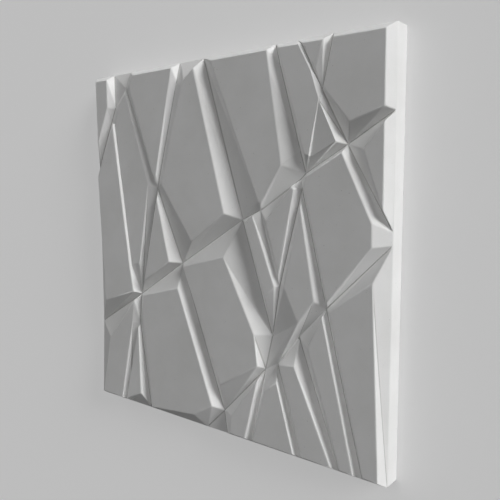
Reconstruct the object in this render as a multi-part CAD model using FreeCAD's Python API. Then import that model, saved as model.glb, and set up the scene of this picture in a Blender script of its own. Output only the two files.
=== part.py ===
# A square wall panel tile, cast in one piece with a relief of flat shards between cracks.
# Its back lies on the XY plane with the origin at the back's centre, and the relief faces +Z.
import FreeCAD
import Part
import os

doc = FreeCAD.newDocument("wall_panel_tile")

# Driving dimensions in millimetres, and what each one measures on the tile
SIZES = [
    ("side", 500.0, "length of each of the four sides"),
    ("edge_height", 22.5, "plain band round the edge, from the back up to the foot of the relief"),
    ("relief_depth", 14.0, "from the flat faces of the shards down to the deepest cracks"),
    ("bevel_top", 8.0, "setback of the shards' faces from the top side"),
    ("bevel_bottom", 8.5, "setback of the shards' faces from the bottom side"),
    ("bevel_left", 13.0, "setback of the shards' faces from the left side"),
    ("bevel_right", 6.0, "setback of the shards' faces from the right side"),
]

sheet = doc.addObject("Spreadsheet::Sheet", "Sizes")
for row, (alias, value, meaning) in enumerate(SIZES, start=1):
    sheet.set(f"A{row}", meaning)
    sheet.set(f"B{row}", str(value))
    sheet.setAlias(f"B{row}", alias)
doc.recompute()

side = sheet.side
relief_depth = sheet.relief_depth
face_height = sheet.edge_height + relief_depth
face_left = sheet.bevel_left
face_right = side - sheet.bevel_right
face_bottom = sheet.bevel_bottom
face_top = side - sheet.bevel_top

# The plan of the cracks is drawn on a square grid of this many steps a side,
# with x to the right and y up as the tile hangs, from its lower left corner.
PLAN_STEPS = 500


def across(steps):
    return steps * side / PLAN_STEPS


# Widths of the shards along the four sides, in steps of the plan:
# they share out the side between them, and the cracks end between them at full depth.
LEFT_WIDTHS = [119, 243, 138]
RIGHT_WIDTHS = [269, 14, 128, 89]
TOP_WIDTHS = [42, 37, 104, 44, 118, 30, 49, 76]
BOTTOM_WIDTHS = [64, 48, 116, 37, 45, 77, 53, 29, 31]


def crack_ends(widths):
    return [side * sum(widths[:count]) / sum(widths) for count in range(1, len(widths))]


left_ends = dict(zip(["left_lower", "left_upper"], crack_ends(LEFT_WIDTHS)))
right_ends = dict(zip(["right_lower", "right_middle", "right_upper"], crack_ends(RIGHT_WIDTHS)))
top_ends = {f"top_{number}": x for number, x in enumerate(crack_ends(TOP_WIDTHS), start=1)}
bottom_ends = {f"bottom_{number}": x for number, x in enumerate(crack_ends(BOTTOM_WIDTHS), start=1)}

# Crossings and bends of the cracks: x and y in steps of the plan, and the share of the relief's depth
CROSSINGS = {
    # the main crack, which climbs from the left side to the right side
    "main_1": (95, 173, 1.0),
    "main_2": (183, 226, 1.0),
    "main_3": (293, 290, 1.0),
    "main_4": (329.5, 302.9, 0.25),
    "main_5": (383, 341, 1.0),
    "main_6": (389, 347, 1.0),
    "main_7": (444, 378, 1.0),
    # the lower crack, from the bottom side to the right side
    "lower_1": (260, 31, 1.0),
    "lower_2": (330, 102, 1.0),
    "lower_3": (352, 114, 0.72),
    "lower_4": (381, 152, 1.0),
    "lower_5": (422, 192, 0.65),
    # the cracks of the upper left corner
    "corner_fork": (50, 451, 0.6),
    "corner_branch": (39, 431, 0.68),
    "top_fork": (78.4, 477.2, 0.42),
    "left_bend_upper": (53.2, 425.3, 0.21),
    "left_bend_lower": (86.3, 214.4, 0.21),
    # the forks between them
    "left_fork": (142.8, 331.3, 0.42),
    "top_bend": (183, 473, 0.45),
    "low_fork": (102, 131.7, 0.3),
    "upper_fork": (388, 330, 0.57),
    "middle_fork": (357, 212, 0.5),
    "middle_pit": (341, 147, 1.0),
    "right_fork": (417.2, 437.9, 0.2),
    # round the slanting shard at the top: its foot on the left, and the thin grooves on its right
    "slant_foot_upper": (355, 473.7, 0.66),
    "slant_foot_lower": (384, 372.7, 0.71),
    "slant_groove_upper": (390, 491.2, 0.2),
    "slant_groove_lower": (402, 366.5, 0.21),
}

# Every point at the foot of a shard, as (x, y, share of the relief's depth)
feet = {name: (across(x), across(y), share) for name, (x, y, share) in CROSSINGS.items()}
feet.update({name: (0.0, y, 1.0) for name, y in left_ends.items()})
feet.update({name: (side, y, 1.0) for name, y in right_ends.items()})
feet.update({name: (x, side, 1.0) for name, x in top_ends.items()})
feet.update({name: (x, 0.0, 1.0) for name, x in bottom_ends.items()})
feet["corner_top_left"] = (0.0, side, 1.0)
feet["corner_top_right"] = (side, side, 1.0)
feet["corner_bottom_left"] = (0.0, 0.0, 1.0)
feet["corner_bottom_right"] = (side, 0.0, 1.0)


def at(x, y, lowered=0.0):
    # a corner of a flat face, by its place on the plan, and how far it is lowered as a share of the depth
    return (across(x), across(y), lowered)


def beside(foot, right, up):
    # a corner of a flat face, by its distance from the end of a crack
    x, y, _ = feet[foot]
    return (x + across(right), y + across(up), 0.0)


def on_top_rim(foot, right):
    return (beside(foot, right, 0)[0], face_top, 0.0)


def on_bottom_rim(foot, right):
    return (beside(foot, right, 0)[0], face_bottom, 0.0)


def on_left_rim(foot, up):
    return (face_left, beside(foot, 0, up)[1], 0.0)


def on_right_rim(foot, up):
    return (face_right, beside(foot, 0, up)[1], 0.0)


# Each shard is a ring of points, anticlockwise seen from the front:
# the foot of a ridge, and the corner of the flat face that the ridge climbs to.
# One blade stands a little lower than the other shards, and a small one tilts at one corner.
SHARDS = {
    "upper_left_corner": [
        ("corner_top_left", (face_left, face_top, 0.0)),
        ("left_upper", beside("left_upper", 15, 40)),
        ("corner_branch", beside("left_upper", 15, 40)),
        ("corner_fork", at(40, 451)),
        ("top_1", on_top_rim("top_1", -2)),
    ],
    "left_edge": [
        ("corner_branch", at(51, 425)),
        ("left_upper", on_left_rim("left_upper", -13)),
        ("left_lower", beside("left_lower", 24, 38)),
        ("main_1", at(91, 178)),
        ("left_bend_lower", at(84, 214)),
        ("left_bend_upper", at(51, 425)),
    ],
    "left_blade": [
        ("top_fork", at(78.5, 468.6, lowered=0.18)),
        ("corner_fork", at(63.5, 452.6, lowered=0.18)),
        ("corner_branch", at(55.5, 430.6, lowered=0.18)),
        ("left_bend_upper", at(55.5, 426.6, lowered=0.18)),
        ("left_bend_lower", at(88.5, 216.6, lowered=0.18)),
        ("main_1", at(93.5, 220.6, lowered=0.18)),
        ("main_1", at(103.5, 221.6, lowered=0.18)),
        ("left_fork", at(125.5, 335.6, lowered=0.18)),
    ],
    "top_wedge": [
        ("top_2", on_top_rim("top_2", 20)),
        ("top_fork", at(90, 478)),
        ("left_fork", at(141, 345)),
        ("left_fork", at(145, 350)),
        ("top_bend", at(174.5, 473)),
        ("top_3", on_top_rim("top_3", -4)),
    ],
    "upper_left_field": [
        ("top_3", beside("top_3", 19, -26)),
        ("top_bend", at(198, 466)),
        ("left_fork", at(155, 338)),
        ("main_2", at(214, 259)),
        ("main_3", at(272, 298)),
        ("top_4", beside("top_4", -7, -13)),
    ],
    "left_triangle": [
        ("left_fork", at(146, 316)),
        ("main_1", at(116, 196)),
        ("main_2", at(169, 228)),
    ],
    "upper_field": [
        ("top_4", on_top_rim("top_4", 24)),
        ("main_3", at(328, 315)),
        ("main_4", at(332, 312)),
        ("main_5", at(363, 357)),
        ("main_6", at(363, 357)),
        ("slant_foot_lower", at(363, 357)),
        ("slant_foot_upper", at(345, 468)),
        ("top_5", on_top_rim("top_5", -4)),
    ],
    "slanting_shard": [
        ("top_5", on_top_rim("top_5", 12)),
        ("slant_foot_upper", on_top_rim("top_5", 12)),
        ("slant_foot_lower", at(394, 370.2)),
        ("main_6", at(394, 370.2)),
        ("slant_groove_lower", at(401, 367)),
        ("right_fork", at(414, 430)),
        ("right_fork", at(403, 462)),
        ("slant_groove_upper", on_top_rim("top_6", 11.5)),
        ("top_6", on_top_rim("top_6", 11.5)),
    ],
    "top_small_wedge": [
        ("top_6", on_top_rim("top_6", 16)),
        ("slant_groove_upper", on_top_rim("top_6", 16)),
        ("right_fork", at(408, 462)),
        ("top_7", on_top_rim("top_7", -5)),
    ],
    "upper_right_corner": [
        ("right_fork", at(420, 440)),
        ("main_7", at(453, 401)),
        ("right_upper", on_right_rim("right_upper", 3)),
        ("corner_top_right", (face_right, face_top, 0.0)),
        ("top_7", on_top_rim("top_7", 8)),
    ],
    "right_small_blade": [
        ("right_fork", at(415, 425)),
        ("slant_groove_lower", at(402.5, 365.6, lowered=0.18)),
        ("main_6", at(402.5, 365.6, lowered=0.18)),
        ("main_7", at(437, 380)),
    ],
    "right_field": [
        ("main_6", at(397, 343)),
        ("main_5", at(395, 336)),
        ("upper_fork", at(395, 328)),
        ("lower_5", at(427, 201)),
        ("right_lower", beside("right_lower", -18, -3)),
        ("right_middle", beside("right_middle", -18, 9)),
        ("main_7", at(444, 369)),
    ],
    "right_edge_blade": [
        ("main_7", at(470, 371)),
        ("right_middle", on_right_rim("right_middle", 23)),
        ("right_upper", on_right_rim("right_upper", -12)),
    ],
    "middle_triangle": [
        ("main_4", at(340, 291)),
        ("middle_fork", at(359, 227)),
        ("upper_fork", at(381, 328)),
        ("main_5", at(377, 332)),
    ],
    "middle_blade": [
        ("main_3", at(306, 287)),
        ("middle_pit", at(338, 198)),
        ("middle_fork", at(353, 211)),
        ("main_4", at(319, 297)),
    ],
    "right_blade": [
        ("upper_fork", at(390, 309)),
        ("middle_fork", at(367, 213)),
        ("middle_pit", at(367, 213)),
        ("lower_2", at(388, 172)),
        ("lower_3", at(388, 172)),
        ("lower_4", at(388, 172)),
        ("lower_5", at(410, 200)),
    ],
    "lower_field": [
        ("main_2", at(197, 224)),
        ("lower_1", at(264, 70)),
        ("lower_2", at(327, 108)),
        ("middle_pit", at(322, 147)),
        ("main_3", at(271, 242)),
    ],
    "bottom_left_field": [
        ("main_1", at(113, 174)),
        ("low_fork", at(110, 146)),
        ("bottom_2", on_bottom_rim("bottom_2", 17)),
        ("bottom_3", beside("bottom_3", -13, 18)),
        ("lower_1", at(249, 38)),
        ("main_2", at(186, 193)),
    ],
    "lower_left_corner": [
        ("main_1", at(92, 164)),
        ("left_lower", beside("left_lower", 34, -19)),
        ("corner_bottom_left", (face_left, face_bottom, 0.0)),
        ("bottom_1", on_bottom_rim("bottom_1", -6)),
        ("low_fork", at(88, 131)),
    ],
    "bottom_spike": [
        ("low_fork", at(101, 126)),
        ("bottom_1", on_bottom_rim("bottom_1", 7)),
        ("bottom_2", beside("bottom_2", -8, 24)),
    ],
    "bottom_blade_1": [
        ("lower_1", at(283, 34)),
        ("bottom_4", on_bottom_rim("bottom_4", 16)),
        ("bottom_5", on_bottom_rim("bottom_5", -4)),
        ("lower_2", at(327, 90)),
    ],
    "bottom_blade_2": [
        ("lower_2", at(338, 79)),
        ("bottom_5", on_bottom_rim("bottom_5", 9)),
        ("bottom_6", on_bottom_rim("bottom_6", -5)),
        ("lower_3", at(357, 93)),
    ],
    "bottom_blade_3": [
        ("lower_3", at(361, 116)),
        ("bottom_6", on_bottom_rim("bottom_6", 7)),
        ("bottom_7", on_bottom_rim("bottom_7", -6)),
        ("lower_4", at(383, 119)),
    ],
    "bottom_blade_4": [
        ("lower_4", at(402, 144)),
        ("bottom_7", on_bottom_rim("bottom_7", 7)),
        ("bottom_8", on_bottom_rim("bottom_8", -6)),
        ("lower_5", at(421, 184)),
    ],
    "lower_right_corner": [
        ("lower_5", at(430, 190)),
        ("bottom_8", on_bottom_rim("bottom_8", 7)),
        ("corner_bottom_right", (face_right, face_bottom, 0.0)),
        ("right_lower", beside("right_lower", -16, -40)),
    ],
}

# Low facets between the shards, which have no flat face of their own
LOW_FACETS = [
    ["top_1", "corner_fork", "top_fork"],
    ["top_1", "top_fork", "top_2"],
    ["lower_1", "bottom_3", "bottom_4"],
]


def point(x, y, share):
    return FreeCAD.Vector(x - side / 2, y - side / 2, face_height - share * relief_depth)


def foot_point(name):
    return point(*feet[name])


def facet(points):
    return Part.Face(Part.makePolygon(points + points[:1]))


def real_triangles(triangles):
    # where two ridges share a foot or a corner, one of the triangles has no area
    return [t for t in triangles if t[0] != t[1] and t[1] != t[2] and t[2] != t[0]]


def least_lean(triangles):
    # how far the steepest of the triangles leans back: 1 lies flat, 0 is upright, and below 0 overhangs
    normals = [(b - a).cross(c - a) for a, b, c in real_triangles(triangles)]
    return min([n.z / n.Length for n in normals], default=1.0)


def wall_facets(foot_a, head_a, foot_b, head_b):
    # a wall that is not flat folds from its first foot to its second head, or where that would overhang
    # and keep the casting in its mould, from its second foot to its first head
    rising = [(foot_a, foot_b, head_b), (foot_a, head_b, head_a)]
    falling = [(foot_a, foot_b, head_a), (foot_b, head_b, head_a)]
    fold = rising if least_lean(rising) > 0 else max(rising, falling, key=least_lean)
    return [facet(list(t)) for t in real_triangles(fold)]


def ring_walls(ring):
    walls = []
    for (foot_a, head_a), (foot_b, head_b) in zip(ring, ring[1:] + ring[:1]):
        walls += wall_facets(foot_a, head_a, foot_b, head_b)
    return walls


def relief_facets():
    facets = []
    for ring in SHARDS.values():
        heads = [point(*head) for _, head in ring]
        corners = [h for i, h in enumerate(heads) if h != heads[i - 1]]
        facets.append(facet(corners))
        facets += ring_walls([(foot_point(foot), head) for (foot, _), head in zip(ring, heads)])
    facets += [facet([foot_point(name) for name in names]) for names in LOW_FACETS]
    return facets


def edge_band(start, ends, finish):
    # one plain side of the tile, from the back up to the ends of the cracks
    rim = [foot_point(name) for name in [start] + list(ends) + [finish]]
    low_start = FreeCAD.Vector(rim[0].x, rim[0].y, 0)
    low_finish = FreeCAD.Vector(rim[-1].x, rim[-1].y, 0)
    return facet([low_start] + rim + [low_finish])


def back_face():
    names = ["corner_bottom_left", "corner_bottom_right", "corner_top_right", "corner_top_left"]
    return facet([FreeCAD.Vector(foot_point(n).x, foot_point(n).y, 0) for n in names])


bands = [
    edge_band("corner_bottom_left", left_ends, "corner_top_left"),
    edge_band("corner_bottom_right", right_ends, "corner_top_right"),
    edge_band("corner_top_left", top_ends, "corner_top_right"),
    edge_band("corner_bottom_left", bottom_ends, "corner_bottom_right"),
]
shell = Part.makeShell(relief_facets() + bands + [back_face()])
shell.sewShape()
casting = Part.makeSolid(shell)
if casting.Volume < 0:
    casting.reverse()

wall_panel = doc.addObject("Part::Feature", "wall_panel")
wall_panel.Label = "wall_panel"
wall_panel.Shape = casting.removeSplitter()
wall_panel.Placement = FreeCAD.Placement()
doc.recompute()

# Every object has to be sound before anything is written
for item in doc.Objects:
    if "Invalid" in item.State or "Error" in item.State:
        raise RuntimeError(f"{item.Name} failed: {item.State}")
if wall_panel.Shape.isNull() or not wall_panel.Shape.isValid():
    raise RuntimeError("the panel's shape is not valid")
if len(wall_panel.Shape.Solids) != 1:
    raise RuntimeError("the panel is not one solid")

os.makedirs("parts", exist_ok=True)
wall_panel.Shape.exportStep(f"parts/{wall_panel.Label}.step")
box = wall_panel.Shape.BoundBox
print(f"panel {box.XLength:.1f} x {box.YLength:.1f} x {box.ZLength:.1f} mm")
print(f"faces {len(wall_panel.Shape.Faces)}, volume {wall_panel.Shape.Volume / 1e6:.3f} litres")
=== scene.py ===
# %% [markdown]
# # A cast wall panel tile
# The object is one square tile of cast gypsum plaster. Its front is broken up like cracked ice:
# flat angular shards, nearly all at one height, with sloping walls that run down into V-shaped cracks.
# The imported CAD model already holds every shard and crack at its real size, so the lesson is about
# what a casting adds to it: soft edges, a fine chalky grain, tiny air pores, and a plain studio.

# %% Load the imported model
import math
from collections import Counter

import bmesh
import bpy
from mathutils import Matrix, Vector
from mathutils.geometry import intersect_point_line


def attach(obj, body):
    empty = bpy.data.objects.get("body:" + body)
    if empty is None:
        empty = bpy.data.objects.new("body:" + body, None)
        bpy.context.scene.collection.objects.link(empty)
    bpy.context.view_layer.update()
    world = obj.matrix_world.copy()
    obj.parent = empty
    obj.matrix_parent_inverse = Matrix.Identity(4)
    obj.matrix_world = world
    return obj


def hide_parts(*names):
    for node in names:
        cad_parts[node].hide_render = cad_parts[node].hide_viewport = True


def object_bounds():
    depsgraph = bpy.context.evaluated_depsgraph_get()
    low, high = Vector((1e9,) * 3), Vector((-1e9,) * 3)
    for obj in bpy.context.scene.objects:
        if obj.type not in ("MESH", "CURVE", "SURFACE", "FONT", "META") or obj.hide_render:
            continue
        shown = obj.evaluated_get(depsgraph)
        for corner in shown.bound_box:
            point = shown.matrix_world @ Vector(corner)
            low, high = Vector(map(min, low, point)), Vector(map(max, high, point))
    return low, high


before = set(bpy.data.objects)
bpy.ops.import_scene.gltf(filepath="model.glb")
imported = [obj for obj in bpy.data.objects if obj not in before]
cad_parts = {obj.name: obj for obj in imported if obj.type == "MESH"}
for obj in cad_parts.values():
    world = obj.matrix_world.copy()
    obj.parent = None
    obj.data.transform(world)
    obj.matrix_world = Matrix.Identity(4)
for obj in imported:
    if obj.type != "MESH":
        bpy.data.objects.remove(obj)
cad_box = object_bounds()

scene = bpy.context.scene
scene.view_settings.view_transform = "Standard"


def box_text(box):
    return " to ".join(str(tuple(round(v, 4) for v in corner)) for corner in box)


print("CAD box, in metres:", box_text(cad_box))

# %% [markdown]
# ## The casting
# A plaster tile comes out of a rubber mould in one piece, with flat facets. The CAD mesh has the same
# facets, but as loose triangles. They could be remeshed into one surface, but that would warp the flat
# shards. So a copy is merged at its corners, and triangles in one plane are dissolved into whole facets.

# %% Copy the CAD surface
MM = 0.001
MERGE_WITHIN = 0.01 * MM
ONE_PLANE = math.radians(0.2)

casting = bmesh.new()
casting.from_mesh(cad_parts["wall_panel"].data)
bmesh.ops.remove_doubles(casting, verts=casting.verts, dist=MERGE_WITHIN)
bmesh.ops.dissolve_limit(
    casting,
    angle_limit=ONE_PLANE,
    verts=casting.verts,
    edges=casting.edges,
    use_dissolve_boundaries=False,
)
print("facets:", len(casting.faces), "edges:", len(casting.edges))

# %% [markdown]
# ## Rounded edges
# No edge of a casting is truly sharp: the mould rounds each one over a little. A Bevel modifier could do
# that, but it has one limit for the whole mesh. With the limit, the smallest corner would keep every edge
# almost sharp. Without it, the walls of the narrow grooves would fold over each other. So the bevel is
# tried on copies, and edges without room are left sharp one by one, until no facet turns over.

# %% Find the edges
SHARP_FROM = math.radians(1.5)

casting.edges.index_update()
corner_edges = [e for e in casting.edges if e.is_manifold and e.calc_face_angle(0.0) > SHARP_FROM]
print("edges where facets meet at an angle:", len(corner_edges))

# %% Try a rounding and look for folds
EDGE_ROUNDING = 1.0 * MM
ROUNDED_BAND = 2 * EDGE_ROUNDING
# a facet that leans only a hair past upright is let through
LOOKS_DOWN = -0.02


def round_over(shape, edges):
    return bmesh.ops.bevel(
        shape,
        geom=edges,
        offset=EDGE_ROUNDING,
        offset_type="OFFSET",
        affect="EDGES",
        segments=2,
        profile=0.5,
        material=-1,
        clamp_overlap=False,
    )


def folds(edges):
    # the casting has no undercut, so above its back only a facet that is folded over looks down
    trial = casting.copy()
    trial.edges.ensure_lookup_table()
    round_over(trial, [trial.edges[e.index] for e in edges])
    triangles = bmesh.ops.triangulate(trial, faces=trial.faces)["faces"]
    trial.normal_update()
    spots = [t.calc_center_median() for t in triangles if t.normal.z < LOOKS_DOWN]
    trial.free()
    return [spot for spot in spots if spot.z > ROUNDED_BAND]


print("folds if every edge were rounded:", len(folds(corner_edges)))

# %% Leave the tight edges sharp
NEAREST_EDGES = 3


def distance(spot, edge):
    start, end = (v.co for v in edge.verts)
    share = intersect_point_line(spot, start, end)[1]
    return (spot - start.lerp(end, min(max(share, 0.0), 1.0))).length


def tight_edge(spot, edges):
    nearest = sorted(edges, key=lambda e: distance(spot, e))[:NEAREST_EDGES]
    return min(nearest, key=lambda e: e.calc_length())


soft_edges = list(corner_edges)
spots = folds(soft_edges)
while spots:
    # each fold votes for a short edge beside it, and the edge with the most votes stays sharp
    votes = Counter(tight_edge(spot, soft_edges) for spot in spots)
    soft_edges.remove(votes.most_common(1)[0][0])
    spots = folds(soft_edges)
print("rounded edges:", len(soft_edges), "of", len(casting.edges))

# %% Round the casting
FACE_HEIGHT = cad_box[1][2]

rim_mark = casting.faces.layers.float.new("rubbed_rim")
# the faces at the bottoms of the cracks get a mark for painted shade
crease_shade_mark = casting.faces.layers.float.new("painted_crease_shade")
rounded = round_over(casting, soft_edges)
# where short edges meet, a rounded corner can rise a little past the flat faces, and is set back on them
for vert in casting.verts:
    vert.co.z = min(vert.co.z, FACE_HEIGHT)
casting.normal_update()
print("faces with the roundings:", len(casting.faces))

# %% [markdown]
# ## Rims and cracks
# Handling rubs the upper rims of the shards a little whiter. The bottoms of the cracks are painted a
# darker grey, as painted shade for the shade that gathers in the creases. Both could be painted on an
# image, but the roundings already lie in just these places. So their faces are marked, and the material
# reads the marks.
# The roundings are shaded smooth and the facets flat: smooth facets would blend into each other across
# the edges that stayed sharp.

# %% Shade and mark the roundings
HOLLOW_FROM = math.radians(25)


def fold_inwards(face):
    # the rounded bottom of a crack is hollow: its long edges fold inwards, the more the sharper the crack
    length = max(e.calc_length() for e in face.edges)
    return -sum(e.calc_length() * e.calc_face_angle_signed(0.0) for e in face.edges) / length


for face in casting.faces:
    face.smooth = False
for face in rounded["faces"]:
    face.smooth = True
    # a hollow rounding at a crack's bottom is marked for painted shade, and the print below counts these
    # faces
    if fold_inwards(face) > HOLLOW_FROM:
        face[crease_shade_mark] = 1.0
    elif face.calc_center_median().z > FACE_HEIGHT - ROUNDED_BAND:
        face[rim_mark] = 1.0
print("rubbed rim faces:", sum(1 for f in casting.faces if f[rim_mark] > 0.5))
print("dusty crack faces:", sum(1 for f in casting.faces if f[crease_shade_mark] > 0.5))

# %% [markdown]
# ## The finished piece
# The shards could be separate objects, but the real tile is one casting, so it is one mesh. It takes the
# place of the CAD node. Nothing on a tile moves, so it rides on the root.

# %% Make the piece
panel_mesh = bpy.data.meshes.new("panel_casting")
bmesh.ops.dissolve_degenerate(casting, dist=MERGE_WITHIN, edges=casting.edges)
casting.to_mesh(panel_mesh)
casting.free()
panel = bpy.data.objects.new("panel_casting", panel_mesh)
scene.collection.objects.link(panel)
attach(panel, "root")
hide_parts("wall_panel")
print("panel triangles:", sum(len(p.vertices) - 2 for p in panel_mesh.polygons))

# %% [markdown]
# ## Writing shader maths
# Nodes could be added and linked one at a time, but a finish is easier to read as a formula. The class
# below wraps one output socket, so that `1 - mask * 0.2` adds its two Math nodes by itself. Every node
# comes from its method `node`, which takes the kind of node, its settings, and what feeds its sockets:
# values by their order, then values by their names.


# %% A socket that can be calculated with
class Signal:
    def __init__(self, tree, socket):
        self.tree = tree
        self.socket = socket

    @classmethod
    def node(cls, tree, kind, settings=None, *values, outlet=None, **named):
        # the settings come first, because they decide which sockets are in use
        made = tree.nodes.new(kind)
        for name, setting in (settings or {}).items():
            setattr(made, name, setting)
        for value, inlet in zip(values, made.inputs):
            feed(value, inlet)
        for name, value in named.items():
            feed(value, in_use(made.inputs, name.replace("_", " ")))
        return cls(tree, in_use(made.outputs, outlet) if outlet else made.outputs[0])

    def maths(self, operation, first, second):
        return Signal.node(self.tree, "ShaderNodeMath", {"operation": operation}, first, second)

    def __add__(self, other):
        return self.maths("ADD", self, other)

    def __radd__(self, other):
        return self.maths("ADD", other, self)

    def __sub__(self, other):
        return self.maths("SUBTRACT", self, other)

    def __rsub__(self, other):
        return self.maths("SUBTRACT", other, self)

    def __mul__(self, other):
        return self.maths("MULTIPLY", self, other)

    def __rmul__(self, other):
        return self.maths("MULTIPLY", other, self)


print("sockets can be added, subtracted and multiplied")


# %% Find and feed a socket
def in_use(sockets, name):
    # a Mix node has a socket of each name for every type of data, and only one of them is in use
    return next(s for s in sockets if s.name == name and s.enabled)


def feed(value, inlet):
    if isinstance(value, Signal):
        value.tree.links.new(value.socket, inlet)
    else:
        inlet.default_value = value


print("sockets can be fed with numbers, colours and other sockets")

# %% [markdown]
# ## Cast gypsum plaster
# Dry plaster is a matt, slightly warm white. Close up it has a fine chalky grain, pinholes left by air
# bubbles, and faint cloudy patches where it dried at different speeds. An image could show them, but it
# would stretch down the walls of the cracks. Patterns in Object coordinates run through the casting
# instead. These are in metres, so a scale of 900 gives a grain of about a millimetre.

# %% Start the material
plaster = bpy.data.materials.new("cast_plaster")
plaster.use_nodes = True
tree = plaster.node_tree
place = Signal.node(tree, "ShaderNodeTexCoord", outlet="Object")
print("plaster patterns are read from:", place.socket.name, "coordinates")


# %% Grain, clouds and pores
def noise(scale, detail, roughness=0.5):
    return Signal.node(
        tree, "ShaderNodeTexNoise", Vector=place, Scale=scale, Detail=detail, Roughness=roughness
    )


def rise(value, start, end):
    return Signal.node(tree, "ShaderNodeMapRange", Value=value, From_Min=start, From_Max=end)


grain = noise(900.0, 3.0, 0.6)
clouds = noise(14.0, 4.0, 0.55)
bubbles = Signal.node(tree, "ShaderNodeTexVoronoi", outlet="Distance", Vector=place, Scale=160.0)
pinholes = 1.0 - rise(bubbles, 0.05, 0.12)
# pinholes come in patches, where air was trapped, and most of the face has none
airy_patches = rise(noise(60.0, 1.0), 0.56, 0.62)
pores = pinholes * airy_patches
print("plaster nodes with the patterns:", len(tree.nodes))

# %% Colour
DAMP_WHITE = (0.80, 0.80, 0.79, 1.0)
DRY_WHITE = (0.86, 0.86, 0.855, 1.0)
RUBBED_WHITE = (0.92, 0.92, 0.915, 1.0)
# painted shade: the darker grey for the bottoms of the cracks
CREASE_SHADE_GREY = (0.46, 0.455, 0.445, 1.0)
# painted shade: the darker grey for the insides of the pinholes
PORE_SHADE_GREY = (0.45, 0.45, 0.44, 1.0)


def layer(amount, under, over):
    colours = {"data_type": "RGBA"}
    return Signal.node(
        tree, "ShaderNodeMix", colours, outlet="Result", Factor=amount, A=under, B=over
    )


def mark(name):
    return Signal.node(tree, "ShaderNodeAttribute", {"attribute_name": name}, outlet="Fac")


drying = rise(0.75 * clouds + 0.25 * grain, 0.38, 0.62)
cast_white = layer(drying, DAMP_WHITE, DRY_WHITE)
chalky = layer(mark("rubbed_rim") * (0.25 + 0.5 * grain), cast_white, RUBBED_WHITE)
# the bottoms of the cracks are painted darker: painted shade in the creases, mottled by the clouds
crease_shaded = layer(mark("painted_crease_shade") * (0.45 + 0.4 * clouds), chalky, CREASE_SHADE_GREY)
# the pinholes are painted darker: painted shade inside the holes
pore_shaded = layer(0.5 * pores, crease_shaded, PORE_SHADE_GREY)
print("plaster nodes with the colours:", len(tree.nodes))

# %% Roughness and bump
BUMP_DEPTH = 0.4 * MM

uneven = 0.35 * grain + 0.5 * clouds - pores
bump = Signal.node(
    tree, "ShaderNodeBump", outlet="Normal", Strength=0.25, Distance=BUMP_DEPTH, Height=uneven
)
shader = tree.nodes["Principled BSDF"]
feed(pore_shaded, shader.inputs["Base Color"])
feed(0.78 + 0.16 * grain, shader.inputs["Roughness"])
feed(bump, shader.inputs["Normal"])
shader.inputs["Specular IOR Level"].default_value = 0.3
panel_mesh.materials.append(plaster)
print("plaster nodes in all:", len(tree.nodes))

# %% [markdown]
# ## Floor
# The tile lies on its back on a plain pale floor, which is one large square a hair below it. Stronger
# lamps would make the floor paler, but they would bleach the plaster too. So part of the floor's colour
# is a glow for those rays alone that show the floor: straight ones from the camera, and ones by gloss or
# glass. The rest of the colour is lit as usual, and so the floor keeps the shadow of the tile.

# %% The floor's shape
FLOOR_WIDTH = 8.0
FLOOR_GAP = 0.4 * MM

floor_shape = bmesh.new()
bmesh.ops.create_grid(floor_shape, x_segments=1, y_segments=1, size=FLOOR_WIDTH / 2)
bmesh.ops.translate(floor_shape, verts=floor_shape.verts, vec=(0.0, 0.0, -FLOOR_GAP))
floor_mesh = bpy.data.meshes.new("studio_floor")
floor_shape.to_mesh(floor_mesh)
floor_shape.free()
floor = bpy.data.objects.new("studio_floor", floor_mesh)
scene.collection.objects.link(floor)
print("floor, in metres:", [tuple(round(c, 4) for c in v.co) for v in floor_mesh.vertices])

# %% The floor's colour
FLOOR_COLOUR = (0.80, 0.80, 0.80, 1.0)
FLOOR_GLOW = 0.45


def shown(tree):
    # 1 for a ray that shows the surface, and 0 for one that only brings light
    straight = Signal.node(tree, "ShaderNodeLightPath", outlet="Is Camera Ray")
    gloss = Signal.node(tree, "ShaderNodeLightPath", outlet="Is Glossy Ray")
    glass = Signal.node(tree, "ShaderNodeLightPath", outlet="Is Transmission Ray")
    return straight.maths("MAXIMUM", straight, gloss.maths("MAXIMUM", gloss, glass))


floor_paint = bpy.data.materials.new("pale_floor")
floor_paint.use_nodes = True
floor_tree = floor_paint.node_tree
floor_shader = floor_tree.nodes["Principled BSDF"]
floor_shader.inputs["Base Color"].default_value = FLOOR_COLOUR
floor_shader.inputs["Roughness"].default_value = 0.9
lit = Signal(floor_tree, floor_shader.outputs["BSDF"])
glow = Signal.node(floor_tree, "ShaderNodeEmission", Color=FLOOR_COLOUR)
glow_share = FLOOR_GLOW * shown(floor_tree)
floor_finish = Signal.node(floor_tree, "ShaderNodeMixShader", {}, glow_share, lit, glow)
feed(floor_finish, floor_tree.nodes["Material Output"].inputs["Surface"])
floor_mesh.materials.append(floor_paint)
print("floor nodes:", len(floor_tree.nodes))

# %% [markdown]
# ## Lamps
# One large lamp low on the right, past the top side, grazes the relief: the walls that face it are
# bright, the flat faces stay grey, and the far walls of the cracks fall into shade. An area lamp could do
# this, but it fades across the tile, and a sun lamp does not. Two weaker lamps, one on the same side and
# one on the left, lighten the shadows and the shaded walls. They cast no shadows themselves, so that the
# clear shadows fall one way. A lamp overhead is so weak that its own shadows hardly show.

# %% Hang the lamps
LAMP_SOFTNESS = math.radians(30)
LAMP_DISTANCE = 3.0
FROM_RIGHT = (0.858, 0.495, 0.139)
FROM_LEFT = (-0.942, 0.306, 0.139)
FROM_ABOVE = (0.0, 0.5, 0.866)


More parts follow.
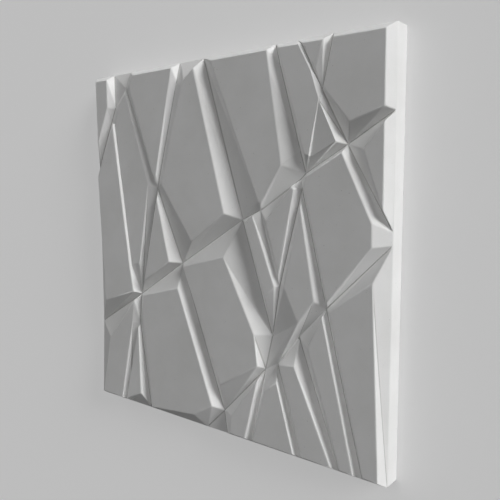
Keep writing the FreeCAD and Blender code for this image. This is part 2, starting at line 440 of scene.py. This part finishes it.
def lamp(name, towards, strength, shadows=True):
    light = bpy.data.lights.new(name, "SUN")
    light.angle = LAMP_SOFTNESS
    light.energy = strength
    light.use_shadow = shadows
    holder = bpy.data.objects.new(name, light)
    scene.collection.objects.link(holder)
    direction = Vector(towards).normalized()
    holder.location = direction * LAMP_DISTANCE
    holder.rotation_euler = direction.to_track_quat("Z", "Y").to_euler()
    print(name, "stands", round(math.degrees(math.asin(direction.z)), 1), "degrees over the tile")


lamp("key_right", FROM_RIGHT, 2.7)
lamp("fill_right", FROM_RIGHT, 0.35, shadows=False)
lamp("fill_left", FROM_LEFT, 0.55, shadows=False)
lamp("overhead", FROM_ABOVE, 0.2)

# %% [markdown]
# ## Room light and backdrop
# A room sends a little light back from its walls. Modelled walls would do it, but they would get in the
# way of other views, so the world gives a dim white light from all sides. Rays that would show the world,
# past the edge of the floor, see a plain grey backdrop instead of that light.

# %% Light the room
WHITE = (1.0, 1.0, 1.0, 1.0)
BACKDROP_GREY = (0.52, 0.52, 0.52, 1.0)
ROOM_STRENGTH = 0.10

world = bpy.data.worlds.new("soft_room")
scene.world = world
world.use_nodes = True
room_tree = world.node_tree
room_shader = room_tree.nodes["Background"]
room_shader.inputs["Color"].default_value = WHITE
room_shader.inputs["Strength"].default_value = ROOM_STRENGTH
room_light = Signal(room_tree, room_shader.outputs["Background"])
backdrop = Signal.node(room_tree, "ShaderNodeBackground", Color=BACKDROP_GREY)
room = Signal.node(room_tree, "ShaderNodeMixShader", {}, shown(room_tree), room_light, backdrop)
feed(room, room_tree.nodes["World Output"].inputs["Surface"])
print("room nodes:", len(room_tree.nodes), "with a light of", ROOM_STRENGTH)

# %% [markdown]
# ## Camera
# The photograph looks at the tile from the right, a little above its middle. A camera could be placed by
# eye, but then the cracks would not fall on those of the photograph, and could not be compared with them.
# So its place, turn and lens come from a perspective fit of the tile's outline and cracks.

# %% Place the camera
SENSOR_WIDTH = 36.0
LENS = 42.45
CAMERA_PLACE = (0.525, 0.078, 0.601)
CAMERA_TURN = (-5.862, 39.123, -0.096)

camera_data = bpy.data.cameras.new("photo_view")
camera_data.sensor_width = SENSOR_WIDTH
camera_data.lens = LENS
camera = bpy.data.objects.new("photo_view", camera_data)
camera.location = CAMERA_PLACE
camera.rotation_euler = [math.radians(angle) for angle in CAMERA_TURN]
scene.collection.objects.link(camera)
scene.camera = camera
print("camera distance, in metres:", round(camera.location.length, 3))
